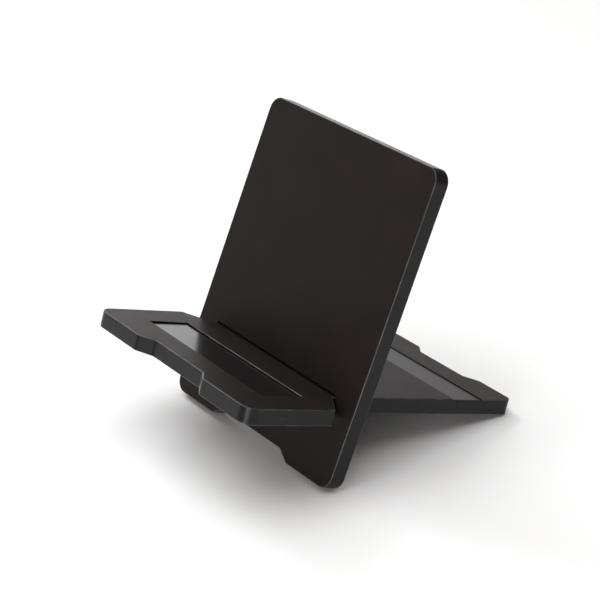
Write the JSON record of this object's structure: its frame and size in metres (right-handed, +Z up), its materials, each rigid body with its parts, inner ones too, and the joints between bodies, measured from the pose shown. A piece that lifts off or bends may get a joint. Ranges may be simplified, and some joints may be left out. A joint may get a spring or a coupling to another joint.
{
  "type": "tablet stand",
  "caption": "Tablet stand of flat painted boards crossing in an X: a leaning back board with a slot, and a shelf board whose tongue slides through it.",
  "frame": {"origin": "on the floor, at the bottom centre of the assembled stand's bounding box", "axes": "+Z up, +Y towards the rear, where the tongue's end stands on the floor, +X to the right seen from the front; the back board leans towards +Y"},
  "size_m": [0.17, 0.2194, 0.1905],
  "materials": {
    "painted_board": "fibreboard in satin warm black paint",
    "grip_inlay": "thin smooth black silicone, glossier than the paint"
  },
  "bodies": {
    "back": {"back_panel": "painted_board"},
    "shelf": {"shelf_panel": "painted_board", "shelf_grip_pad": "grip_inlay", "tongue_grip_strip": "grip_inlay"}
  },
  "joints": [
    {"name": "shelf_slide", "type": "slide", "parent": "back", "child": "shelf", "axis": [0, -0.9568, 0.2907], "range_m": [0, 0.1365]}
  ]
}
